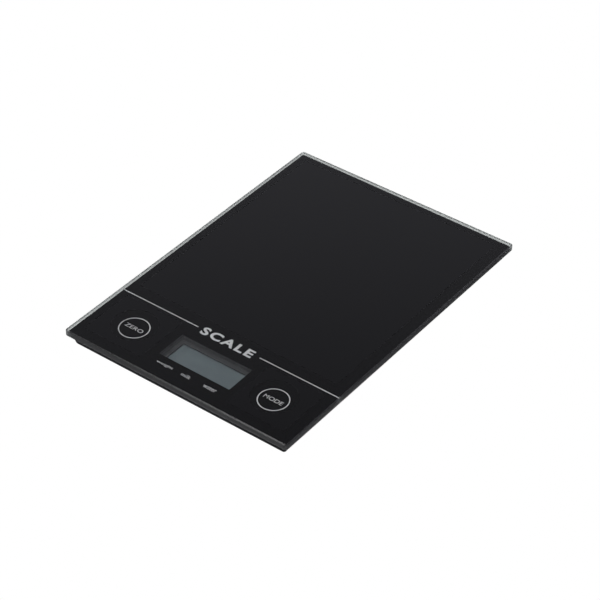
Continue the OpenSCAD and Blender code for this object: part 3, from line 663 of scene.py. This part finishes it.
# Ground glass: the same glass cut by a diamond wheel, so its surface scatters what passes and looks pale.
ground, tree, shader = new_material("ground_glass_edge", Transmission_Weight=1.0, IOR=1.52,
                                    Base_Color=colour("#a9afac"))
place = add_node(tree, "ShaderNodeTexCoord").outputs["Object"]
lines = add_node(tree, "ShaderNodeMapping", {"Vector": place, "Scale": (1, 1, 12)})
grit = add_node(tree, "ShaderNodeTexNoise", {"Vector": lines.outputs[0], "Scale": 1 / (0.8 * MM), "Detail": 3.0})
spread = add_node(tree, "ShaderNodeMapRange", {"Value": grit.outputs["Fac"], "To Min": 0.42, "To Max": 0.7})
tree.links.new(spread.outputs[0], shader.inputs["Roughness"])
# The arris is dressed with a finer wheel and shines along its length.
dressed, tree, shader = new_material("dressed_glass_arris", Transmission_Weight=1.0, IOR=1.52,
                                     Base_Color=colour("#a8acaa"))
place = add_node(tree, "ShaderNodeTexCoord").outputs["Object"]
grit = add_node(tree, "ShaderNodeTexNoise", {"Vector": place, "Scale": 1 / (0.3 * MM), "Detail": 2.0})
spread = add_node(tree, "ShaderNodeMapRange", {"Value": grit.outputs["Fac"], "To Min": 0.22, "To Max": 0.34})
tree.links.new(spread.outputs[0], shader.inputs["Roughness"])
# Fired ceramic ink: flat black, bonded to the glass so that nothing shines between them.
black_ink = textured("black_ceramic_ink", "#040405", "#060607", 2 * MM, (0.7, 0.9), Specular_IOR_Level=0.0)

glass = placed("glass_plate", glass_plate(), smooth=radians(30))
for finish in (clear, ground, black_ink, dressed, inked):
    glass.data.materials.append(finish)
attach(glass, BASE)
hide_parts("glass_platform")

# ------------------------------------------------------------------ printed marks
# Silver-grey ceramic ink, printed before the black: a line across the plate with a word in its gap, a ring
# and a word for each key, and three small words under the window for what is weighed.
mark_t = 0.02 * MM
mark_z = bottom + 0.005 * MM
line_w = 0.55 * MM


def flat_bar(x0, x1, y, width):
    middle = ((x0 + x1) / 2, y)
    return [outline(x1 - x0, width, width / 4, z, middle, steps=2) for z in (mark_z, mark_z + mark_t)]


def flat_ring(x, y, outer, inner, steps=96):
    """A flat ring as a mesh."""
    work = bmesh.new()
    loops = []
    for radius, z in ((outer, mark_z), (outer, mark_z + mark_t), (inner, mark_z + mark_t), (inner, mark_z)):
        loops.append([work.verts.new((x + radius * cos(2 * pi * i / steps), y + radius * sin(2 * pi * i / steps), z))
                      for i in range(steps)])
    for low, high in zip(loops, loops[1:] + loops[:1]):
        for j in range(steps):
            k = (j + 1) % steps
            work.faces.new((low[j], low[k], high[k], high[j]))
    mesh = bpy.data.meshes.new("ring")
    work.to_mesh(mesh)
    work.free()
    return mesh


def lettering(words, height, middle, weight=0.0, spacing=1.0, width=None):
    """Words as a flat, closed mesh, height tall and centred on middle. weight thickens or thins the strokes."""
    text = bpy.data.curves.new(words, "FONT")
    text.body, text.size, text.offset, text.space_character = words, 1.0, weight, spacing
    text.extrude, text.resolution_u = 0.5, 6
    holder = bpy.data.objects.new(words, text)
    bpy.context.scene.collection.objects.link(holder)
    state = bpy.context.evaluated_depsgraph_get()
    mesh = bpy.data.meshes.new_from_object(holder.evaluated_get(state), depsgraph=state)
    bpy.data.objects.remove(holder)
    xs, ys = [v.co.x for v in mesh.vertices], [v.co.y for v in mesh.vertices]
    across, tall = max(xs) - min(xs), max(ys) - min(ys)
    scale_y = height / tall
    scale_x = width / across if width else scale_y
    mesh.transform(Matrix.Translation((-(max(xs) + min(xs)) / 2, -(max(ys) + min(ys)) / 2, 0)))
    mesh.transform(Matrix.Diagonal((scale_x, scale_y, mark_t, 1)))
    mesh.transform(Matrix.Translation((middle[0], middle[1], mark_z + mark_t / 2)))
    return mesh


def joined(name, meshes, finish):
    """One object from several meshes."""
    work = bmesh.new()
    for mesh in meshes:
        work.from_mesh(mesh)
    bmesh.ops.remove_doubles(work, verts=work.verts, dist=1e-7)
    mesh = bpy.data.meshes.new(name)
    work.to_mesh(mesh)
    work.free()
    made = placed(name, mesh, finish)
    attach(made, BASE)
    return made


# Silver ceramic ink: a light grey with fine metallic flake, seen through the glass.
silver_ink = textured("silver_ceramic_ink", "#d6d6d7", "#e8e8e9", 0.4 * MM, (0.5, 0.7), Specular_IOR_Level=0.0)
edge_x = glass_w / 2 - arris
joined("printed_line", [lofted("line", flat_bar(-edge_x, -19.7 * MM, line_y, line_w),
                               flat_bar(19.5 * MM, edge_x, line_y, line_w))], silver_ink)
word_place = (-0.5 * MM, line_y - 0.4 * MM)
joined("printed_word", [lettering("SCALE", 6 * MM, word_place, weight=0.035, spacing=1.22, width=32.5 * MM)],
       silver_ink)
# the rings and their words are printed a little to the left and to the front of the foil discs
keys = [(middle_of(pad).x - 0.3 * MM, middle_of(pad).y - 0.2 * MM) for pad in ("touch_pad_zero", "touch_pad_mode")]
ring_outer, ring_inner = 8.2 * MM, 7.68 * MM
thin = -0.005
joined("printed_rings", [flat_ring(*key, ring_outer, ring_inner) for key in keys], silver_ink)
joined("printed_key_words", [lettering(words, 2.6 * MM, key, weight=thin, width=11.2 * MM)
                             for words, key in zip(("ZERO", "MODE"), keys)], silver_ink)
# what is weighed: word, place along X and width, in millimetres
small_words = (("weight", -14.2, 10.2), ("milk", -0.5, 5.6), ("water", 14.4, 7.8))
small_y = glass_low[1] + 11.5 * MM
joined("printed_small_words", [lettering(words, 2.2 * MM, (x * MM, small_y), weight=thin, width=width * MM)
                               for words, x, width in small_words], silver_ink)

# ------------------------------------------------------------------ worktop, light and camera
# A worktop of white laminate that is exposed to pure white, with a softbox in front on the left, a scrim
# overhead and a lamp below. The pale room is dimmed in a broad band at mid height, as grey cards are set round
# a shiny plate so that it mirrors something dark.
reach = 3
table = bpy.data.meshes.new("worktop")
table.from_pydata([(-reach, -reach, 0), (reach, -reach, 0), (reach, reach, 0), (-reach, reach, 0)], [],
                  [(0, 1, 2, 3)])
laminate = textured("white_laminate", "#e2e2e2", "#e8e8e8", 30 * MM, (0.7, 0.8), Specular_IOR_Level=0.1)
worktop = placed("worktop", table, laminate)
tree = laminate.node_tree
matt = next(n for n in tree.nodes if n.type == "BSDF_PRINCIPLED")
surface = next(n for n in tree.nodes if n.type == "OUTPUT_MATERIAL")
# for the light that it throws back, the worktop's colour is graded from grey in front on the left to nearly black
# behind on the right: painted shade, darkest on the side away from the softbox
painted_shade_direction, painted_shade_start, painted_shade_end = (0.8, 0.6, 0), -0.15, 0.12
painted_shade_light, painted_shade_dark = 0.22, 0.03
place = add_node(tree, "ShaderNodeTexCoord").outputs["Object"]
away = add_node(tree, "ShaderNodeVectorMath", {0: place, 1: painted_shade_direction}, operation="DOT_PRODUCT")
grade = add_node(tree, "ShaderNodeMapRange",
                 {"Value": away.outputs["Value"], "From Min": painted_shade_start, "From Max": painted_shade_end,
                  "To Min": painted_shade_light, "To Max": painted_shade_dark})
tint = matt.inputs["Base Color"].links[0].from_socket
# painted shade: the laminate's colour is multiplied by the grade
painted_shade_mix = add_node(tree, "ShaderNodeMix", {0: 1.0, 6: tint, 7: grade.outputs[0]},
                  data_type="RGBA", blend_type="MULTIPLY")
tree.links.new(painted_shade_mix.outputs[2], matt.inputs["Base Color"])
# to the lens it is pure white, and a little dimmer through the glass
path = add_node(tree, "ShaderNodeLightPath").outputs
dimmed = add_node(tree, "ShaderNodeMapRange", {"Value": path["Is Camera Ray"], "To Min": 0.6, "To Max": 1.0})
lit = add_node(tree, "ShaderNodeEmission", {"Color": (1, 1, 1, 1), "Strength": dimmed.outputs[0]})
seen = add_node(tree, "ShaderNodeMath", {0: path["Is Camera Ray"], 1: path["Is Transmission Ray"]},
                operation="MAXIMUM")
exposed = add_node(tree, "ShaderNodeMixShader", {0: seen.outputs[0], 1: matt.outputs[0], 2: lit.outputs[0]})
# from below it is clear, and it lets the lamp below shine on the underside
below = add_node(tree, "ShaderNodeNewGeometry").outputs["Backfacing"]
either = add_node(tree, "ShaderNodeMath", {0: below, 1: path["Is Shadow Ray"]}, operation="MAXIMUM")
nothing = add_node(tree, "ShaderNodeBsdfTransparent")
one_sided = add_node(tree, "ShaderNodeMixShader",
                     {0: either.outputs[0], 1: exposed.outputs[0], 2: nothing.outputs[0]})
tree.links.new(one_sided.outputs[0], surface.inputs[0])

sky = bpy.data.worlds.new("studio")
bpy.context.scene.world = sky
sky.use_nodes = True
tree = sky.node_tree
tree.nodes.clear()
toward = add_node(tree, "ShaderNodeTexCoord").outputs["Generated"]
parts = add_node(tree, "ShaderNodeSeparateXYZ", {"Vector": toward})
# brightness by the sine of the height above the horizon, with a faint cool cast
cast = (0.97, 0.97, 1.06)
levels = ((0.0, 1.0), (0.3, 1.0), (0.5, 0.45), (0.57, 0.33), (0.6, 0.285), (0.635, 0.23), (0.68, 0.165),
          (0.76, 0.14), (0.87, 0.3), (1.0, 0.4))
ramp = add_node(tree, "ShaderNodeValToRGB", {"Fac": parts.outputs["Z"]})
ends = ramp.color_ramp.elements
while len(ends) < len(levels):
    ends.new(0.5)
for stop, (where, level) in zip(ends, levels):
    stop.position = where
    stop.color = [c * level for c in cast] + [1]
glow = add_node(tree, "ShaderNodeBackground", {"Color": ramp.outputs["Color"], "Strength": 1.0})
add_node(tree, "ShaderNodeOutputWorld", {"Surface": glow.outputs["Background"]})

# name, place, width in metres, power in watts, and whether shiny pieces mirror it. The two on the axis stand
# 10 mm off it, so that it is plain which way they turn.
for name, place_at, size, power, mirrored in (
        ("softbox", (-0.27, -1.0, 1.05), 0.9, 8, True),
        ("overhead_scrim", (0, 0.01, 1.3), 1.6, 17, False),
        ("light_from_below", (0, 0.01, -1.2), 0.8, 28, False)):
    light = bpy.data.lights.new(name, "AREA")
    light.energy, light.size = power, size
    box = bpy.data.objects.new(name, light)
    box.visible_glossy = mirrored
    box.matrix_world = Matrix.Translation(place_at) @ Vector(place_at).to_track_quat("Z", "Y").to_matrix().to_4x4()
    bpy.context.scene.collection.objects.link(box)

# the camera stands to the right of the front, looks down at 38 degrees, and leans by one degree
turn, rise, distance = radians(36.34), radians(38.39), 1.0946
plate_middle = Vector((0, 0, top))
stand_at = plate_middle + distance * Vector((sin(turn) * cos(rise), -cos(turn) * cos(rise), sin(rise)))
aim = plate_middle + Vector((9.16, -8.16, 0)) * MM
roll = radians(1.206)
ahead = (aim - stand_at).normalized()
level_right = ahead.cross(Vector((0, 0, 1))).normalized()
level_up = level_right.cross(ahead)
right = level_right * cos(roll) + level_up * sin(roll)
up = level_up * cos(roll) - level_right * sin(roll)
lens = bpy.data.cameras.new("camera")
lens.lens, lens.sensor_width = 126.92, 36
camera = bpy.data.objects.new("camera", lens)
camera.matrix_world = Matrix.Translation(stand_at) @ Matrix((right, up, -ahead)).transposed().to_4x4()
bpy.context.scene.collection.objects.link(camera)
bpy.context.scene.camera = camera
bpy.context.scene.view_settings.view_transform = "Standard"
